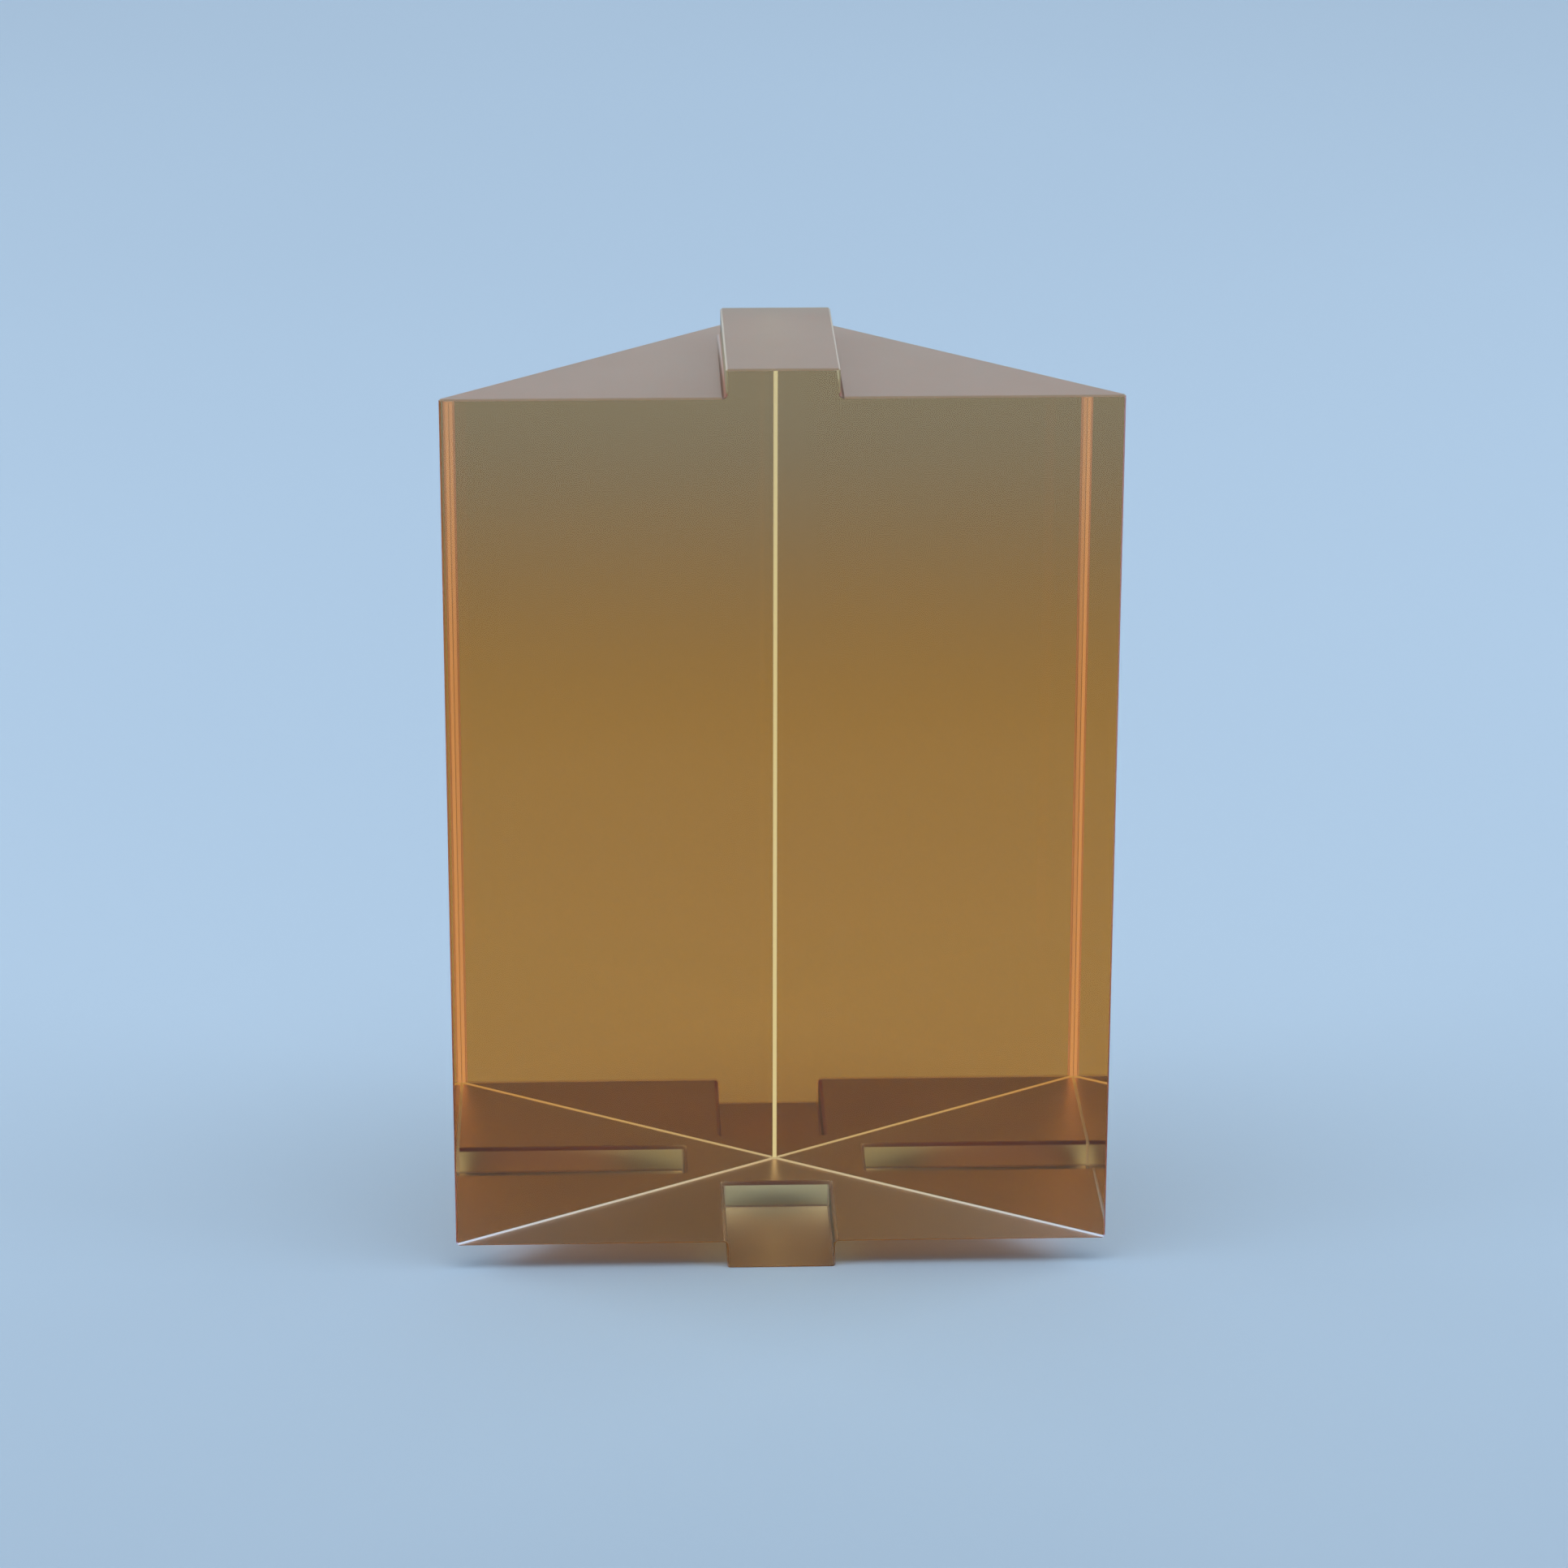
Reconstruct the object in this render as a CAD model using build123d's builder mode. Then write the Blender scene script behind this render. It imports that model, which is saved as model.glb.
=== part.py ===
"""Right-angle prism, ground and polished from one block of glass.

A rib stands on each of the two end faces, flush with the wide hypotenuse face, and keys the
prism into its mount. Every sharp edge carries a fine ground bevel, and each rib meets its end
face in the small concave root that the grinding wheel leaves.

Axes: X runs across the hypotenuse face, Y from that face back to the right-angle edge, Z up
along the prism. The origin is under the middle of the prism, on the surface that it stands on.
"""

from build123d import *
from math import sqrt
import os

# Driving dimensions, in millimetres
leg_width = 42.2  # each of the two faces that meet at the right angle, before its bevels
body_height = 79.2  # from end face to end face
rib_width = 9.8
rib_height = 2.5  # how far a rib stands off its end face
rib_length = 21.3  # from the hypotenuse face back towards the right-angle edge
rib_root_radius = 0.35  # concave root between a rib and its end face
acute_bevel = 0.55  # setback of the bevels on the two 45-degree edges
right_angle_bevel = 0.3  # setback of the bevel on the right-angle edge
end_bevel = 0.15  # setback of the bevels round the end faces and the ribs

# Sizes that follow from them
hypotenuse_width = leg_width * sqrt(2)
right_angle_depth = hypotenuse_width / 2
bevelled_depth = right_angle_depth - right_angle_bevel / sqrt(2)
hypotenuse_y = -bevelled_depth / 2
overall_height = body_height + 2 * rib_height
end_face_levels = (rib_height, rib_height + body_height)
rib_face_levels = (0, overall_height)

tolerance = 0.001


def lies_at_level(edge, levels):
    """Whether the whole edge lies in a horizontal plane at one of these heights."""
    box = edge.bounding_box()
    is_level = box.size.Z < tolerance
    return is_level and any(abs(box.min.Z - level) < tolerance for level in levels)


def lies_in_hypotenuse(edge):
    """Whether the whole edge lies in the plane of the hypotenuse face."""
    return edge.bounding_box().max.Y < hypotenuse_y + tolerance


def is_rib_root(edge):
    """Whether the edge is part of the inside corner along a rib's sides and back."""
    middle = edge.center()
    within_width = abs(middle.X) < rib_width / 2 + tolerance
    within_length = tolerance < middle.Y - hypotenuse_y < rib_length + tolerance
    return within_width and within_length and lies_at_level(edge, end_face_levels)


with BuildPart() as prism:
    # The triangular body, with its three long edges beveled
    with BuildSketch(Plane.XY.offset(rib_height)) as body_section:
        with BuildLine():
            Polyline(
                (-hypotenuse_width / 2, hypotenuse_y),
                (hypotenuse_width / 2, hypotenuse_y),
                (0, hypotenuse_y + right_angle_depth),
                close=True,
            )
        make_face()
        corners_front_to_back = body_section.vertices().group_by(Axis.Y)
        chamfer(corners_front_to_back[0], acute_bevel)
        chamfer(corners_front_to_back[-1], right_angle_bevel)
    extrude(amount=body_height)

    # The ribs, in line with each other, that are left standing on the end faces
    with BuildSketch(Plane.XY) as rib_plan:
        with Locations((0, hypotenuse_y)):
            Rectangle(rib_width, rib_length, align=(Align.CENTER, Align.MIN))
        chamfer(rib_plan.vertices().group_by(Axis.Y)[-1], end_bevel)
    extrude(amount=overall_height)

    # The concave roots along the ribs' sides and backs
    fillet(prism.edges().filter_by(is_rib_root), rib_root_radius)

    # The fine bevels round the end faces and the rib faces, and down the ribs' front corners
    root_outlines = prism.faces().filter_by(GeomType.CYLINDER).edges()
    root_front_arcs = root_outlines.filter_by(lies_in_hypotenuse)
    end_outlines = prism.edges().filter_by(
        lambda edge: lies_at_level(edge, end_face_levels + rib_face_levels)
    )
    front_uprights = prism.edges().filter_by(Axis.Z).filter_by(lies_in_hypotenuse)
    rib_front_corners = front_uprights.filter_by(lambda edge: edge.length < rib_height)
    sharp_edges = end_outlines.filter_by(lambda edge: edge not in root_outlines)
    chamfer(sharp_edges + root_front_arcs + rib_front_corners, end_bevel)

prism.part.label = "prism"

os.makedirs("parts", exist_ok=True)
export_step(prism.part, "parts/prism.step")
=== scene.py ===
"""Right-angle prism of amber glass, standing on one of its ribs on a pale studio sweep.

The hypotenuse face, the fronts of the ribs and the two leg faces are polished. The end faces,
the rest of the ribs and every bevel are fine-ground. All sizes are in metres, in the frame of the
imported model: X runs across the hypotenuse face, Y from it back to the right-angle edge, and Z up
along the prism.
"""

from math import pi, radians, sqrt

import bmesh
import bpy
from mathutils import Euler, Matrix, Vector


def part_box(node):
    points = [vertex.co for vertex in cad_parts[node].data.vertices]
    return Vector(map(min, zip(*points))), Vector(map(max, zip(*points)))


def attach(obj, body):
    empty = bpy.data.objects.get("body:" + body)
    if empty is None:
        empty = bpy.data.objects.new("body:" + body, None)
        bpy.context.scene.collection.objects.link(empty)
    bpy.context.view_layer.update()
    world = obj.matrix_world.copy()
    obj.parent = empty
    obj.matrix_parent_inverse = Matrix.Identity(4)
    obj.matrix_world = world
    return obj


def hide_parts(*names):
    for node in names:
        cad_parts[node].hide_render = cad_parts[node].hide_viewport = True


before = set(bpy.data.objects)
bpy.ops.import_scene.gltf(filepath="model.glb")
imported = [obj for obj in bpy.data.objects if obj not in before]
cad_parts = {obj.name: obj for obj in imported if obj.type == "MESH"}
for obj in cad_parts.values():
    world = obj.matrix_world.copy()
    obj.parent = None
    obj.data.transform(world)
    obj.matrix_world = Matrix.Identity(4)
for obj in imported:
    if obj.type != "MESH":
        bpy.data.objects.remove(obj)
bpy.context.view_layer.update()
prism_low, prism_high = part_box("prism")

bl_info = {
    "name": "Right-angle prism",
    "version": (1, 0, 0),
    "blender": (4, 5, 0),
    "location": "View3D > Sidebar > Prism",
    "description": "Models a ribbed right-angle prism of amber glass and a pale sweep to view it on",
    "category": "Add Mesh",
}

# How close two places are when they count as the same.
TOLERANCE = 1e-6


# ---------------------------------------------------------------------------- settings


def length(name, default, description):
    """A length setting, in metres."""
    return bpy.props.FloatProperty(
        name=name,
        description=description,
        default=default,
        min=0.0,
        precision=5,
        subtype="DISTANCE",
        unit="LENGTH",
    )


def share(name, default, description):
    """A setting from 0 to 1."""
    return bpy.props.FloatProperty(
        name=name,
        description=description,
        default=default,
        min=0.0,
        max=1.0,
        subtype="FACTOR",
    )


def angle(name, default, description):
    """An angle setting, given here in degrees."""
    return bpy.props.FloatProperty(
        name=name,
        description=description,
        default=radians(default),
        subtype="ANGLE",
        unit="ROTATION",
    )


def colour(name, default, description):
    """A linear colour setting."""
    return bpy.props.FloatVectorProperty(
        name=name,
        description=description,
        default=default,
        size=3,
        min=0.0,
        max=1.0,
        subtype="COLOR",
    )


def strength(name, default, description):
    """A setting for how brightly something shines, where 1 is plain."""
    return bpy.props.FloatProperty(name=name, description=description, default=default, min=0.0)


def power(name, default, description):
    """The power of a lamp, in watts."""
    return bpy.props.FloatProperty(
        name=name, description=description, default=default, min=0.0, unit="POWER"
    )


class PrismSizes(bpy.types.PropertyGroup):
    """Sizes of the glass blank, its ribs and its bevels"""

    leg_width: length("Leg width", 0.0422, "Width of each leg face, before its bevels")
    rib_width: length("Rib width", 0.0098, "Width of the rib on each end face")
    rib_height: length("Rib height", 0.0025, "How far a rib stands off its end face")
    rib_length: length("Rib length", 0.0213, "Length of a rib, back from the hypotenuse face")
    root_radius: length("Root radius", 0.00035, "Concave root between a rib and its end face")
    acute_bevel: length("Acute bevel", 0.00055, "Setback of the bevels on the 45-degree edges")
    right_angle_bevel: length("Right-angle bevel", 0.0003, "Setback of the bevel on the back edge")
    end_bevel: length("End bevel", 0.00015, "Setback of the bevels round end faces and ribs")


class GlassFinish(bpy.types.PropertyGroup):
    """Tint of the glass, and how its coated and ground faces look"""

    absorption_tint: colour(
        "Absorption tint", (0.9676, 0.657, 0.0), "What the glass lets through, colour by colour"
    )
    absorption_density: bpy.props.FloatProperty(
        name="Absorption density",
        description="How strongly the glass takes light, for each metre",
        default=50.0,
        min=0.0,
    )
    refractive_index: bpy.props.FloatProperty(
        name="Refractive index",
        description="How strongly the glass bends light",
        default=1.50,
        min=1.3,
        max=2.0,
    )
    # Painted shade: the lower end faces show this dark skin and pass only part of the light, so that
    # they look as dark as in the shade under the prism.
    shaded_ground_colour: colour(
        "Ground colour", (0.10, 0.13, 0.13), "Colour of the fine-ground skin of the glass"
    )
    ground_clear: share("Ground clearness", 0.5, "Share of light that passes the lower end faces")
    # Painted light: the upper end faces get a paler skin than the lower ones, as if lit from above,
    # though both ends are ground alike.
    painted_lit_colour: colour("Lit colour", (0.31, 0.28, 0.22), "Colour of the dusty upper end")
    painted_lit_clear: share("Lit clearness", 0.65, "Share of light that passes the upper end faces")
    bevel_colour: colour(
        "Bevel colour", (1.0, 0.95, 0.83), "Colour of the back bevel and the lower rib's sides"
    )
    # Painted shade: the bevels and roots at the lower end get a dimmer colour than the same bevels
    # at the upper end.
    lower_edge_shade_colour: colour(
        "Edge colour", (0.72, 0.60, 0.60), "Colour of the bevels and roots at the lower end"
    )
    # Painted light: the bevels on the 45-degree edges, ground like the others, get a tint of their
    # own that sets how they glow.
    strip_glow_colour: colour(
        "Strip colour", (0.88, 0.60, 1.0), "Colour of the bevels on the 45-degree edges"
    )
    strip_index: strength("Strip index", 1.1, "How strongly light bends at the bevels")
    # Painted shade: dark rims along both edges of each long bevel.
    rim_shade_colour: colour("Rim colour", (0.20, 0.12, 0.08), "Colour of the long bevels' dark rims")
    ground_roughness: share("Ground roughness", 0.36, "Mean roughness of the end faces")
    bevel_roughness: share("Bevel roughness", 1.0, "Roughness of the bevels and the rib's sides")
    coating_colour: colour("Coating colour", (0.975, 0.975, 0.975), "What the coating lets through")
    coating_margin: length("Coating margin", 0.0004, "Bare margin round the coated area")
    coating_corner: length("Coating corner", 0.0012, "Corner radius of the coated area")


class StageSettings(bpy.types.PropertyGroup):
    """Sweep, lamps and camera"""

    sweep_colour: colour("Sweep colour", (0.48, 0.663, 0.874), "Colour of the floor and backdrop")
    dome_colour: colour("Dome colour", (1.0, 1.0, 1.0), "Colour of the light from all round")
    dome_strength: strength("Dome strength", 0.34, "Strength of the light from all round")
    horizon_strength: strength("Horizon strength", 0.875, "Strength of the sweep at the horizon")
    side_power: power("Side box power", 1.55, "Power of each soft box at the sides")
    back_power: power("Back box power", 1.9, "Power of the soft box behind the prism")
    front_power: power("Front box power", 3.2, "Power of the soft box high over the camera")
    strip_power: power("Back strip power", 3.0, "Power of the low strip far behind the prism")
    flag_shade: share("Flag shade", 0.1, "How pale the dark flag on the camera's side is")
    under_colour: colour("Under colour", (1.0, 0.30, 0.04), "Colour of the light under the glass")
    under_power: power("Under power", 0.0007, "Power of the light under the glass")
    front_card_colour: colour(
        "Front card colour", (0.66, 0.96, 0.94), "Colour of the card before the prism"
    )
    front_card_strength: strength(
        "Front card strength", 2.4, "Strength of the card before the prism"
    )
    back_card_strength: strength("Back card strength", 1.4, "Strength of the card behind the prism")
    camera_place: bpy.props.FloatVectorProperty(
        name="Camera place",
        description="Where the camera stands for the main view",
        default=(-0.015, -0.44, 0.198106),
        size=3,
        subtype="TRANSLATION",
        unit="LENGTH",
    )
    camera_turn: angle("Camera turn", 2.0395, "Turn of the camera to the right")
    camera_tilt: angle("Camera tilt", 19.6, "Tilt of the camera below level")
    camera_roll: angle("Camera roll", 0.1348, "Roll of the camera about its own axis")
    camera_lens: bpy.props.FloatProperty(
        name="Camera lens",
        description="Focal length on a sensor 36 mm wide",
        default=118.077,
        min=10.0,
        unit="CAMERA",
    )


# ---------------------------------------------------------------------------- mesh tools


def clear_selection():
    """Leaves edit mode and deselects everything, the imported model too."""
    if bpy.context.object and bpy.context.object.mode != "OBJECT":
        bpy.ops.object.mode_set(mode="OBJECT")
    bpy.ops.object.select_all(action="DESELECT")


def edit_only(piece):
    """Selects one piece alone and enters edit mode."""
    clear_selection()
    bpy.context.view_layer.objects.active = piece
    piece.select_set(True)
    bpy.ops.object.mode_set(mode="EDIT")


def settle(piece):
    """Puts the piece's object at the origin, with its place in its mesh."""
    clear_selection()
    bpy.context.view_layer.objects.active = piece
    piece.select_set(True)
    bpy.ops.object.transform_apply(location=True, rotation=True, scale=True)


def pick_faces(piece, wanted):
    """Selects, in edit mode, just the faces for which wanted(face) is true."""
    bpy.ops.mesh.select_mode(type="FACE")
    bpy.ops.mesh.select_all(action="DESELECT")
    mesh = bmesh.from_edit_mesh(piece.data)
    for face in mesh.faces:
        face.select_set(wanted(face))
    bmesh.update_edit_mesh(piece.data)


def pick_edges(piece, wanted):
    """Selects, in edit mode, just the edges for which wanted(edge) is true."""
    bpy.ops.mesh.select_mode(type="EDGE")
    bpy.ops.mesh.select_all(action="DESELECT")
    mesh = bmesh.from_edit_mesh(piece.data)
    for edge in mesh.edges:
        edge.select_set(wanted(edge))
    bmesh.update_edit_mesh(piece.data)


def bevel_edges(setback, segments=1):
    """Bevels the selected edges."""
    bpy.ops.mesh.bevel(
        offset_type="OFFSET",
        offset=setback,
        segments=segments,
        affect="EDGES",
        clamp_overlap=False,
    )


def is_upright(edge):
    """Whether the edge runs along Z."""
    run = edge.verts[1].co - edge.verts[0].co
    return abs(run.x) < TOLERANCE and abs(run.y) < TOLERANCE


def middle_of(edge):
    """The edge's middle point."""
    return (edge.verts[0].co + edge.verts[1].co) / 2


# ---------------------------------------------------------------------------- node tools


class Graph:
    """Adds and joins the nodes of one material or world."""

    def __init__(self, tree):
        self.tree = tree

    def add(self, kind, **settings):
        """A new node with the given settings."""
        node = self.tree.nodes.new(kind)
        for name, value in settings.items():
            setattr(node, name, value)
        return node

    def feed(self, socket, source):
        """Joins source to the socket, or sets the socket to it if it is a plain value."""
        if isinstance(source, bpy.types.NodeSocket):
            self.tree.links.new(source, socket)
        else:
            socket.default_value = source

    def attribute(self, name):
        """The value of one of the piece's own attributes."""
        return self.add("ShaderNodeAttribute", attribute_name=name).outputs["Fac"]

    def object_place(self):
        """The place on the piece, in metres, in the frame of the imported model."""
        return self.add("ShaderNodeTexCoord").outputs["Object"]

    def split(self, vector):
        """The outputs X, Y and Z of a vector."""
        node = self.add("ShaderNodeSeparateXYZ")
        self.feed(node.inputs[0], vector)
        return node.outputs

    def maths(self, operation, *values, clamp=False):
        """The result of a Math node."""
        node = self.add("ShaderNodeMath", operation=operation, use_clamp=clamp)
        for socket, value in zip(node.inputs, values):
            self.feed(socket, value)
        return node.outputs[0]

    def blend(self, amount, first, second):
        """A number between first and second."""
        node = self.add("ShaderNodeMix", data_type="FLOAT")
        self.feed(node.inputs[0], amount)
        self.feed(node.inputs[2], first)
        self.feed(node.inputs[3], second)
        return node.outputs[0]

    def tint(self, amount, first, second):
        """A colour between first and second."""
        node = self.add("ShaderNodeMix", data_type="RGBA")
        self.feed(node.inputs[0], amount)
        for socket, value in ((node.inputs[6], first), (node.inputs[7], second)):
            is_plain = not isinstance(value, bpy.types.NodeSocket)
            self.feed(socket, (*value, 1.0) if is_plain else value)
        return node.outputs[2]

    def noise(self, place, scale, detail, roughness=0.5):
        """Noise from 0 to 1, with about as many features in each metre as scale says."""
        node = self.add("ShaderNodeTexNoise")
        self.feed(node.inputs["Vector"], place)
        node.inputs["Scale"].default_value = scale
        node.inputs["Detail"].default_value = detail
        node.inputs["Roughness"].default_value = roughness
        return node.outputs["Fac"]

    def band(self, value, low, high, steps="SMOOTHSTEP"):
        """0 up to low, 1 from high on and a step between them. High may be the smaller one."""
        node = self.add("ShaderNodeMapRange", interpolation_type=steps)
        self.feed(node.inputs["Value"], value)
        node.inputs["From Min"].default_value = low
        node.inputs["From Max"].default_value = high
        return node.outputs["Result"]


def new_material(name):
    """A material with a Principled shader. Gives the material, its graph and the shader."""
    material = bpy.data.materials.new(name)
    material.use_nodes = True
    graph = Graph(material.node_tree)
    shader = material.node_tree.nodes["Principled BSDF"]
    return material, graph, shader


# ---------------------------------------------------------------------------- glass


# Marks that each face of the glass carries, for its material.
FACE_MARKS = ("ground", "bevel", "painted_lit", "glowing", "side", "short")

# Where the dark rims of a long bevel, which are painted shade, start and where they are full,
# from the bevel's middle (0) to its edge (0.5).
RIM_START, RIM_FULL = 0.40, 0.435

# The mottle of the ground faces: its features in each metre, and how far it moves the roughness.
MOTTLE_SCALE, MOTTLE_SWING = 130.0, 0.04

# Half the width of the coating's soft edge, and how far in from the front its layer may lie.
COATING_FADE, COATING_DEPTH = 0.00003, 0.00002


def coated_area(graph, place, finish, sizes):
    """1 on the coated area of the hypotenuse face, a rectangle with round corners, and 0 off it."""
    part = graph.split(place)
    half_width = sizes.leg_width * sqrt(0.5) - sizes.acute_bevel - finish.coating_margin
    half_height = (prism_high.z - prism_low.z) / 2 - sizes.rib_height - finish.coating_margin
    middle = (prism_low.z + prism_high.z) / 2
    level = graph.maths("ABSOLUTE", graph.maths("SUBTRACT", part["Z"], middle))
    beside = graph.maths("ABSOLUTE", part["X"])
    corner = finish.coating_corner
    beyond_side = graph.maths("SUBTRACT", beside, half_width - corner)
    beyond_end = graph.maths("SUBTRACT", level, half_height - corner)
    spread = graph.add("ShaderNodeCombineXYZ")
    graph.feed(spread.inputs["X"], graph.maths("MAXIMUM", beyond_side, 0.0))
    graph.feed(spread.inputs["Y"], graph.maths("MAXIMUM", beyond_end, 0.0))
    reach = graph.add("ShaderNodeVectorMath", operation="LENGTH")
    graph.feed(reach.inputs[0], spread.outputs[0])
    inside = graph.band(reach.outputs["Value"], corner + COATING_FADE, corner - COATING_FADE)
    deepest = prism_low.y + COATING_DEPTH
    in_front = graph.band(part["Y"], deepest, deepest - COATING_DEPTH / 2)
    return graph.maths("MULTIPLY", inside, in_front)


def make_glass(finish, sizes):
    """Amber glass: clear where it is polished, frosted where it is ground."""
    material, graph, shader = new_material("amber_glass")
    place = graph.object_place()
    ground, bevel, painted_lit, glowing, side, short = [graph.attribute(name) for name in FACE_MARKS]

    shader.inputs["IOR"].default_value = finish.refractive_index
    index = graph.blend(glowing, finish.refractive_index, finish.strip_index)
    graph.feed(shader.inputs["IOR"], index)

    mottle = graph.noise(place, MOTTLE_SCALE, detail=4.0, roughness=0.6)
    smoothest = finish.ground_roughness - MOTTLE_SWING
    roughest = finish.ground_roughness + MOTTLE_SWING
    rough = graph.blend(mottle, smoothest, roughest)
    rough = graph.blend(bevel, rough, finish.bevel_roughness)
    graph.feed(shader.inputs["Roughness"], graph.blend(ground, 0.0, rough))

    # Painted shade: the flat faces of the lower end pass only part of the light.
    flat = graph.maths("SUBTRACT", ground, graph.maths("MAXIMUM", bevel, painted_lit), clamp=True)
    clear = graph.blend(flat, 1.0, finish.ground_clear)
    clear = graph.blend(painted_lit, clear, finish.painted_lit_clear)
    graph.feed(shader.inputs["Transmission Weight"], clear)

    across = graph.split(graph.add("ShaderNodeUVMap", uv_map="across").outputs["UV"])
    from_middle = graph.maths("ABSOLUTE", graph.maths("SUBTRACT", across["X"], 0.5))
    rim_shade = graph.maths("MULTIPLY", graph.band(from_middle, RIM_START, RIM_FULL), bevel)
    # Painted light and shade: the upper end shows a paler skin and the lower end a dark one.
    skin = graph.tint(painted_lit, tuple(finish.shaded_ground_colour), tuple(finish.painted_lit_colour))
    skin = graph.tint(bevel, skin, tuple(finish.bevel_colour))
    # Painted shade: the bevels and roots at the lower end are dimmed.
    skin = graph.tint(short, skin, tuple(finish.lower_edge_shade_colour))
    # Painted light: the bevels on the 45-degree edges take their glowing tint.
    skin = graph.tint(side, skin, tuple(finish.strip_glow_colour))
    # Painted shade: the long bevels darken towards both their edges.
    skin = graph.tint(rim_shade, skin, tuple(finish.rim_shade_colour))
    coated = coated_area(graph, place, finish, sizes)
    clean = graph.tint(coated, (1.0, 1.0, 1.0), tuple(finish.coating_colour))
    graph.feed(shader.inputs["Base Color"], graph.tint(ground, clean, skin))

    tinted = graph.add("ShaderNodeVolumeAbsorption")
    tinted.inputs["Color"].default_value = (*finish.absorption_tint, 1.0)
    tinted.inputs["Density"].default_value = finish.absorption_density
    output = material.node_tree.nodes["Material Output"]
    graph.feed(output.inputs["Volume"], tinted.outputs["Volume"])
    return material


# How far the block stands past the blank before the blank is cut from it.
SAW_SPARE = 0.002

# How near the front an upright edge lies when it is one of the two acute edges.
FRONT_REACH = 0.001

# An edge is sharp when its faces turn by more than the first of these, and is no edge at all when
# they turn by less than the second.
SHARP_ANGLE, FLAT_ANGLE = radians(50), radians(0.2)

# An upright edge longer than this runs down the whole prism, and has its bevel already.
LONGEST_RIB_EDGE = 0.01

# How many facets the concave roots are made of.
ROOT_FACETS = 6

# A face looks square along an axis when that part of its normal is past the first of these, and
# a part of a normal is as good as 0 when it is within the second.
SQUARE_ON, SLANT = 0.999, 0.01

# The smallest areas of a leg face, an end face and an upright side of a rib. Bevels are smaller.
SMALLEST_LEG, SMALLEST_END, SMALLEST_WALL = 0.0001, 0.00001, 0.000005

# How near the prism's middle height the middle of a long bevel lies, and how far from the plane
# of symmetry the bevels of the acute edges start.
MIDDLE_REACH, SIDE_START = 0.001, 0.01


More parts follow.
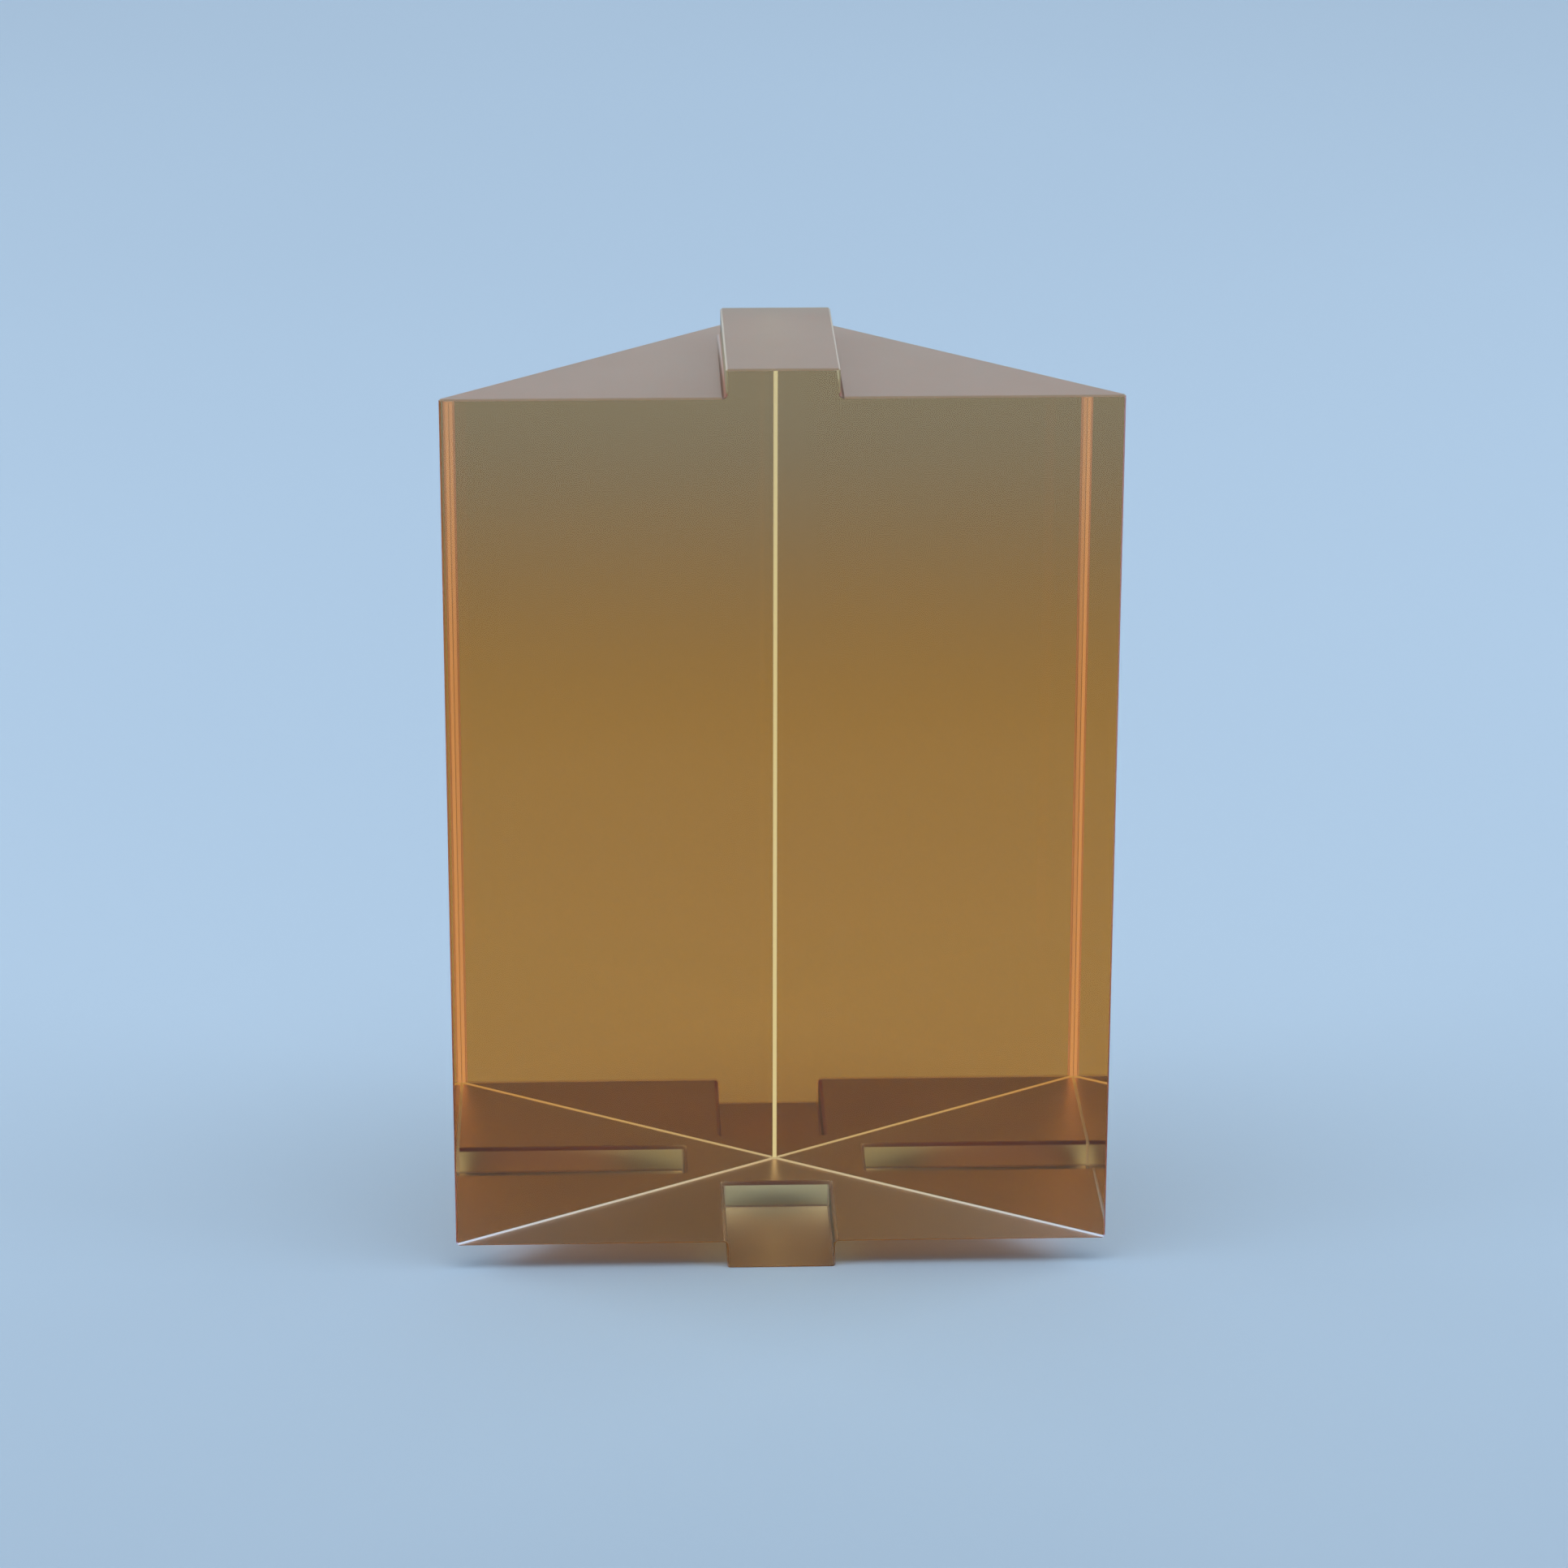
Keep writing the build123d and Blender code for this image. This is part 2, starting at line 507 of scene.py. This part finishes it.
class PRISM_OT_add_prism(bpy.types.Operator):
    """Model the glass prism with its ribs, roots and bevels"""

    bl_idname = "mesh.add_ribbed_prism"
    bl_label = "Add ribbed prism"

    def execute(self, context):
        sizes = context.scene.prism_sizes
        front = prism_low.y
        base = prism_low.z
        top = prism_high.z
        ends = (base + sizes.rib_height, top - sizes.rib_height)
        width = sizes.leg_width * sqrt(2)
        depth = width / 2

        piece = self.saw_blank(front, ends, width, depth)
        self.bevel_long_edges(piece, sizes, front)
        for level, way in zip(ends, (-1, 1)):
            self.raise_rib(piece, sizes, front, level, way)
        self.round_roots(piece, sizes, front, ends)
        self.bevel_ends(piece, sizes, front)
        bpy.ops.object.mode_set(mode="OBJECT")
        settle(piece)
        self.mark_faces(piece, sizes, front, ends)

        piece.data.materials.append(make_glass(context.scene.glass_finish, sizes))
        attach(piece, "root")
        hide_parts("prism")
        self.report({"INFO"}, "Prism modelled")
        return {"FINISHED"}

    def saw_blank(self, front, ends, width, depth):
        """Cuts the triangular blank from a block, one leg face after the other."""
        clear_selection()
        bpy.ops.mesh.primitive_cube_add(
            size=1.0,
            location=(0.0, front + (depth + SAW_SPARE) / 2, sum(ends) / 2),
            scale=(width + 2 * SAW_SPARE, depth + SAW_SPARE, ends[1] - ends[0]),
        )
        piece = bpy.context.object
        piece.name = "amber_prism"
        piece.data.name = "amber_prism"
        settle(piece)
        edit_only(piece)
        back_edge = Vector((0.0, front + depth, 0.0))
        for side in (-1, 1):
            bpy.ops.mesh.select_all(action="SELECT")
            bpy.ops.mesh.bisect(
                plane_co=back_edge,
                plane_no=(side, 1.0, 0.0),
                use_fill=True,
                clear_outer=True,
            )
        return piece

    def bevel_long_edges(self, piece, sizes, front):
        """Bevels the two acute edges, then the right-angle edge."""
        pick_edges(piece, lambda e: is_upright(e) and middle_of(e).y < front + FRONT_REACH)
        bevel_edges(sizes.acute_bevel)
        pick_edges(piece, lambda e: is_upright(e) and abs(middle_of(e).x) < TOLERANCE)
        bevel_edges(sizes.right_angle_bevel)

    def raise_rib(self, piece, sizes, front, level, way):
        """Marks out the rib on one end face, and draws it out of the glass."""
        side = sizes.rib_width / 2
        back = front + sizes.rib_length

        def on_end(face):
            at_level = abs(face.calc_center_median().z - level) < TOLERANCE
            return at_level and abs(face.normal.z) > SQUARE_ON

        def between_sides(face):
            return on_end(face) and abs(face.calc_center_median().x) < side

        def under_rib(face):
            return between_sides(face) and face.calc_center_median().y < back

        for plane_x in (-side, side):
            pick_faces(piece, on_end)
            bpy.ops.mesh.bisect(plane_co=(plane_x, 0.0, 0.0), plane_no=(1.0, 0.0, 0.0))
        pick_faces(piece, between_sides)
        bpy.ops.mesh.bisect(plane_co=(0.0, back, 0.0), plane_no=(0.0, 1.0, 0.0))
        pick_faces(piece, under_rib)
        bpy.ops.mesh.extrude_region_move(
            TRANSFORM_OT_translate={"value": (0.0, 0.0, way * sizes.rib_height)}
        )
        bpy.ops.mesh.select_all(action="SELECT")
        bpy.ops.mesh.dissolve_limited(angle_limit=FLAT_ANGLE, use_dissolve_boundaries=False)

    def round_roots(self, piece, sizes, front, ends):
        """Bevels the ribs' back corners, then lays the concave roots round them."""
        back = front + sizes.rib_length
        side = sizes.rib_width / 2

        def is_back_corner(edge):
            middle = middle_of(edge)
            at_back = abs(middle.y - back) < TOLERANCE
            return is_upright(edge) and at_back and abs(abs(middle.x) - side) < TOLERANCE

        pick_edges(piece, is_back_corner)
        bevel_edges(sizes.end_bevel)

        def is_root(edge):
            middle = middle_of(edge)
            at_end = min(abs(middle.z - level) for level in ends) < TOLERANCE
            under_rib = abs(middle.x) < side + TOLERANCE and middle.y < back + TOLERANCE
            return at_end and under_rib and middle.y > front + TOLERANCE and not is_upright(edge)

        pick_edges(piece, is_root)
        bevel_edges(sizes.root_radius, segments=ROOT_FACETS)
        bpy.ops.mesh.faces_shade_smooth()

    def bevel_ends(self, piece, sizes, front):
        """Bevels round the end faces and rib faces, and down the ribs' front corners."""

        def is_sharp(edge):
            if len(edge.link_faces) != 2 or edge.calc_face_angle_signed() < SHARP_ANGLE:
                return False
            if is_upright(edge):
                is_short = edge.calc_length() < LONGEST_RIB_EDGE
                return middle_of(edge).y < front + TOLERANCE and is_short
            return True

        pick_edges(piece, is_sharp)
        bevel_edges(sizes.end_bevel)

    def mark_faces(self, piece, sizes, front, ends):
        """Writes how each face is finished, and how far across a long bevel each corner lies."""
        mesh = piece.data
        mesh.uv_layers.new(name="across")
        for name in FACE_MARKS:
            mesh.attributes.new(name, "FLOAT", "FACE")
        marks = {name: mesh.attributes[name].data for name in FACE_MARKS}
        across = mesh.uv_layers["across"].data
        for face in mesh.polygons:
            finish = self.finish_of(face, sizes, front, ends)
            for name in FACE_MARKS:
                marks[name][face.index].value = float(name in finish)
            self.spread_across(mesh, face, across, "long" in finish)

    def finish_of(self, face, sizes, front, ends):
        """The names of the marks that one face carries, and "long" for a long bevel."""
        centre = face.center
        middle = sum(ends) / 2
        upright = abs(face.normal.z) < SLANT
        in_front = face.normal.y < -SQUARE_ON and centre.y < front + TOLERANCE
        leg = abs(abs(face.normal.x) - sqrt(0.5)) < SLANT and face.area > SMALLEST_LEG
        if upright and (in_front or leg):
            return set()
        high = centre.z > middle
        end = abs(face.normal.z) > SQUARE_ON and face.area > SMALLEST_END
        if end:
            # Painted light: the upper end and the faces next to it are marked to be painted paler.
            return {"ground", "painted_lit"} if high else {"ground"}
        if centre.z > ends[1] - sizes.end_bevel:
            return {"ground", "painted_lit"}
        if upright and abs(centre.z - middle) < MIDDLE_REACH:
            long_bevel = {"ground", "bevel", "glowing", "long"}
            at_side = abs(centre.x) > SIDE_START
            return long_bevel | {"side"} if at_side else long_bevel
        if high:
            return {"ground", "bevel"}
        wall = upright and face.area > SMALLEST_WALL
        low_face = {"ground", "bevel", "glowing"}
        # Painted shade: the lower end's bevels and roots are marked to be dimmed.
        return low_face if wall else low_face | {"short"}

    def spread_across(self, mesh, face, across, is_long):
        """Gives each corner of a long bevel its share of the way across, and 0.5 elsewhere."""
        if not is_long:
            for loop in face.loop_indices:
                across[loop].uv = (0.5, 0.5)
            return
        run = face.normal.cross(Vector((0.0, 0.0, 1.0)))
        reach = [mesh.vertices[index].co.dot(run) for index in face.vertices]
        low, high = min(reach), max(reach)
        for loop, place in zip(face.loop_indices, reach):
            across[loop].uv = ((place - low) / (high - low), 0.5)


# ---------------------------------------------------------------------------- stage


# How far the floor reaches round the prism.
FLOOR_RADIUS = 1.6

# Painted shade on the cloth, for light that falls off towards the camera: how much of the
# sweep's colour the cloth shows far behind the prism, under it, before it, and well before it
# where only the glass sees it.
FAR_SHADE, MIDDLE_SHADE, NEAR_SHADE, DEEP_SHADE = 1.0, 0.88, 0.76, 0.36

# The stretches of Y over which those shades change into each other, the last one back again.
FAR_STRETCH = (0.0, 0.5)
NEAR_STRETCH = (0.0, -0.10)
DEEP_STRETCH = (-0.10, -0.26)
BACK_STRETCH = (-0.44, -0.59)

# The mottle of the cloth: its features in each metre, and how far it moves the colour.
CLOTH_SCALE, CLOTH_SWING = 3.0, 0.04

# The horizon's light gives way to the dome's between these heights of the sky, where 0 is level
# and 1 is overhead.
HORIZON_STRETCH = (0.10, 0.32)

# Where every soft box points.
AIM = Vector((0.0, 0.0, 0.04))

# The stretch of Y over which the front card comes up to full strength.
CARD_STRETCH = (-0.15, -0.31)

# The back card is clear under the prism. It starts just behind the leg faces, where the distance
# from the plane of symmetry plus Y passes the first of these, and is full at the second.
BACK_CARD_STRETCH = (0.0152, 0.0165)

# How often light may turn: in all, and by mirroring or passing through.
MOST_TURNS, GLASS_TURNS = 32, 24

# Width of the camera's sensor, in millimetres, and how near and how far the camera sees.
SENSOR_WIDTH = 36.0
NEAREST, FARTHEST = 0.01, 20.0

# Every kind of ray that may or may not see an object.
RAY_KINDS = ("camera", "diffuse", "glossy", "transmission", "shadow", "volume_scatter")


def add_sheet(name, middle, size, seen_by, turn=(0.0, 0.0, 0.0)):
    """A flat sheet, which only the named kinds of ray see."""
    clear_selection()
    bpy.ops.mesh.primitive_plane_add(size=1.0, location=middle, rotation=turn)
    sheet = bpy.context.object
    sheet.name = name
    sheet.dimensions = (*size, 0.0)
    settle(sheet)
    for kind in RAY_KINDS:
        setattr(sheet, "visible_" + kind, kind in seen_by)
    return sheet


def new_glow(name, colour):
    """A material with a glow and a clear film, which still have to be joined."""
    material, graph, shader = new_material(name)
    material.node_tree.nodes.remove(shader)
    glow = graph.add("ShaderNodeEmission")
    glow.inputs["Color"].default_value = (*colour, 1.0)
    clear = graph.add("ShaderNodeBsdfTransparent")
    return material, graph, glow, clear


class PRISM_OT_add_stage(bpy.types.Operator):
    """Set out the pale sweep, the soft lamps and the camera"""

    bl_idname = "mesh.add_prism_stage"
    bl_label = "Add stage"

    def execute(self, context):
        stage = context.scene.prism_stage
        self.lay_floor(stage)
        self.lay_mirrored_floor(stage)
        self.light_dome(context.scene, stage)
        self.hang_lamps(stage)
        self.light_underside(stage)
        self.stand_flag(stage)
        self.lay_front_card(stage)
        self.lay_back_card(stage)
        self.place_camera(context.scene, stage)
        context.scene.view_settings.view_transform = "Standard"
        context.scene.cycles.max_bounces = MOST_TURNS
        context.scene.cycles.glossy_bounces = GLASS_TURNS
        context.scene.cycles.transmission_bounces = GLASS_TURNS
        self.report({"INFO"}, "Stage set out")
        return {"FINISHED"}

    def lay_floor(self, stage):
        """A wide round floor."""
        clear_selection()
        bpy.ops.mesh.primitive_circle_add(vertices=96, radius=FLOOR_RADIUS, fill_type="NGON")
        floor = bpy.context.object
        floor.name = "floor"
        floor.data.materials.append(self.sweep_cloth("pale_sweep", stage, NEAR_SHADE))

    def lay_mirrored_floor(self, stage):
        """The deeper floor that only the glass sees before it, mirrored or sent back: painted shade.
        """
        sheet = add_sheet(
            "mirrored_floor",
            middle=(0.0, -0.35, 0.001),
            size=(1.6, 0.5),
            seen_by=("glossy", "transmission"),
        )
        sheet.data.materials.append(self.sweep_cloth("painted_shade_sweep", stage, DEEP_SHADE))

    def sweep_cloth(self, name, stage, deepest):
        """Pale cloth with painted shade, dimmer before the prism and down to the deepest shade
        beyond.
        """
        material, graph, shader = new_material(name)
        shader.inputs["Roughness"].default_value = 0.9
        shader.inputs["Specular IOR Level"].default_value = 0.1
        place = graph.object_place()
        along = graph.split(place)["Y"]
        far = graph.band(along, *FAR_STRETCH, steps="LINEAR")
        near = graph.band(along, *NEAR_STRETCH)
        deep = graph.band(along, *DEEP_STRETCH)
        deep = graph.maths("SUBTRACT", deep, graph.band(along, *BACK_STRETCH))
        shade = graph.blend(far, MIDDLE_SHADE, FAR_SHADE)
        shade = graph.blend(near, shade, NEAR_SHADE)
        shade = graph.blend(deep, shade, deepest)
        deeper = tuple(part * (1.0 - CLOTH_SWING) for part in stage.sweep_colour)
        paler = tuple(min(1.0, part * (1.0 + CLOTH_SWING)) for part in stage.sweep_colour)
        cloth = graph.tint(graph.noise(place, CLOTH_SCALE, detail=2.0), deeper, paler)
        graph.feed(shader.inputs["Base Color"], graph.tint(shade, (0.0, 0.0, 0.0), cloth))
        return material

    def light_dome(self, scene, stage):
        """Even light from above, which gives way to the sweep's colour near the horizon."""
        world = bpy.data.worlds.new("dome")
        world.use_nodes = True
        scene.world = world
        graph = Graph(world.node_tree)
        background = world.node_tree.nodes["Background"]
        direction = graph.add("ShaderNodeTexCoord").outputs["Generated"]
        above = graph.band(graph.split(direction)["Z"], *HORIZON_STRETCH)
        graph.feed(
            background.inputs["Strength"],
            graph.blend(above, stage.horizon_strength, stage.dome_strength),
        )
        graph.feed(
            background.inputs["Color"],
            graph.tint(above, tuple(stage.sweep_colour), tuple(stage.dome_colour)),
        )

    def hang_lamps(self, stage):
        """Soft boxes at the sides, behind and high in front, and a low strip far behind."""
        self.hang_box("left_box", (-0.52, 0.03, 0.40), (0.62, 0.26), stage.side_power)
        self.hang_box("right_box", (0.52, 0.03, 0.40), (0.62, 0.26), stage.side_power)
        self.hang_box("back_box", (0.0, 0.95, 0.33), (1.9, 0.38), stage.back_power)
        self.hang_box("front_box", (0.0, -0.31, 0.92), (1.0, 0.34), stage.front_power)
        self.hang_box("back_strip", (0.0, 1.9, 0.14), (3.2, 0.24), stage.strip_power)

    def hang_box(self, name, place, size, power):
        """One rectangular lamp, turned to face the prism and hidden from the camera."""
        turn = (AIM - Vector(place)).to_track_quat("-Z", "Y").to_euler()
        self.add_lamp(name, place, turn, size, power)

    def add_lamp(self, name, place, turn, size, power):
        """One rectangular lamp that the camera doesn't see."""
        clear_selection()
        bpy.ops.object.light_add(type="AREA", location=place, rotation=turn)
        lamp = bpy.context.object
        lamp.name = name
        lamp.data.shape = "RECTANGLE"
        lamp.data.size, lamp.data.size_y = size
        lamp.data.energy = power
        lamp.visible_camera = False
        return lamp

    def light_underside(self, stage):
        """An amber glow on the floor under the glass, as from light that falls through it."""
        place = (0.0, -0.0065, 0.0022)
        no_turn = (0.0, 0.0, 0.0)
        lamp = self.add_lamp("amber_light", place, no_turn, (0.052, 0.014), stage.under_power)
        lamp.data.color = stage.under_colour
        lamp.visible_glossy = False
        lamp.visible_transmission = False

    def stand_flag(self, stage):
        """A dark flag on the camera's side, which the glass sees and the camera doesn't."""
        flag = add_sheet(
            "flag",
            middle=(0.0, -1.0, 0.735),
            size=(3.4, 0.97),
            seen_by=("diffuse", "glossy", "transmission", "shadow", "volume_scatter"),
            turn=(pi / 2, 0.0, 0.0),
        )
        material, graph, shader = new_material("flag_cloth")
        shader.inputs["Base Color"].default_value = (*[stage.flag_shade] * 3, 1.0)
        shader.inputs["Roughness"].default_value = 1.0
        shader.inputs["Specular IOR Level"].default_value = 0.0
        flag.data.materials.append(material)

    def lay_front_card(self, stage):
        """A glowing card low in front of the prism, which only its polished faces mirror."""
        card = add_sheet(
            "card", middle=(0.0, -0.225, 0.004), size=(0.5, 0.22), seen_by=("glossy",)
        )
        material, graph, glow, clear = new_glow("card_glow", stage.front_card_colour)
        rise = graph.band(graph.split(graph.object_place())["Y"], *CARD_STRETCH)
        strength = graph.maths("MULTIPLY", rise, stage.front_card_strength)
        graph.feed(glow.inputs["Strength"], strength)
        both = graph.add("ShaderNodeAddShader")
        graph.feed(both.inputs[0], glow.outputs[0])
        graph.feed(both.inputs[1], clear.outputs[0])
        self.dress_card(card, material, graph, both)

    def lay_back_card(self, stage):
        """A glowing card low behind the prism, which is seen only through the glass."""
        card = add_sheet(
            "back_card", middle=(0.0, 0.16, 0.0015), size=(0.70, 0.36), seen_by=("transmission",)
        )
        material, graph, glow, clear = new_glow("back_card_glow", stage.sweep_colour)
        graph.feed(glow.inputs["Strength"], stage.back_card_strength)
        part = graph.split(graph.object_place())
        beyond = graph.maths("ADD", graph.maths("ABSOLUTE", part["X"]), part["Y"])
        both = graph.add("ShaderNodeMixShader")
        graph.feed(both.inputs[0], graph.band(beyond, *BACK_CARD_STRETCH))
        graph.feed(both.inputs[1], clear.outputs[0])
        graph.feed(both.inputs[2], glow.outputs[0])
        self.dress_card(card, material, graph, both)

    def dress_card(self, card, material, graph, surface):
        """Gives a card its finished material."""
        output = material.node_tree.nodes["Material Output"]
        graph.feed(output.inputs["Surface"], surface.outputs[0])
        card.data.materials.append(material)

    def place_camera(self, scene, stage):
        """The camera, a little above the prism and turned slightly to the right."""
        clear_selection()
        turn = Euler((pi / 2 - stage.camera_tilt, 0.0, -stage.camera_turn)).to_matrix()
        turn = turn @ Matrix.Rotation(stage.camera_roll, 3, "Z")
        bpy.ops.object.camera_add(location=stage.camera_place, rotation=turn.to_euler())
        camera = bpy.context.object
        camera.name = "camera"
        camera.data.sensor_width = SENSOR_WIDTH
        camera.data.lens = stage.camera_lens
        camera.data.clip_start = NEAREST
        camera.data.clip_end = FARTHEST
        scene.camera = camera


class PRISM_PT_sidebar(bpy.types.Panel):
    """Buttons and sizes for the prism and its stage"""

    bl_label = "Right-angle prism"
    bl_idname = "PRISM_PT_sidebar"
    bl_space_type = "VIEW_3D"
    bl_region_type = "UI"
    bl_category = "Prism"

    def draw(self, context):
        layout = self.layout
        scene = context.scene
        layout.operator(PRISM_OT_add_prism.bl_idname)
        layout.operator(PRISM_OT_add_stage.bl_idname)
        for group in (scene.prism_sizes, scene.glass_finish, scene.prism_stage):
            box = layout.box()
            for name in group.__annotations__:
                box.prop(group, name)


CLASSES = (
    PrismSizes,
    GlassFinish,
    StageSettings,
    PRISM_OT_add_prism,
    PRISM_OT_add_stage,
    PRISM_PT_sidebar,
)


def register():
    """Registers the classes and hangs the settings on the scene."""
    for item in CLASSES:
        bpy.utils.register_class(item)
    bpy.types.Scene.prism_sizes = bpy.props.PointerProperty(type=PrismSizes)
    bpy.types.Scene.glass_finish = bpy.props.PointerProperty(type=GlassFinish)
    bpy.types.Scene.prism_stage = bpy.props.PointerProperty(type=StageSettings)


def unregister():
    """Takes the settings and the classes away again."""
    del bpy.types.Scene.prism_stage
    del bpy.types.Scene.glass_finish
    del bpy.types.Scene.prism_sizes
    for item in reversed(CLASSES):
        bpy.utils.unregister_class(item)


def main():
    register()
    bpy.ops.mesh.add_ribbed_prism()
    bpy.ops.mesh.add_prism_stage()


if __name__ == "__main__":
    main()
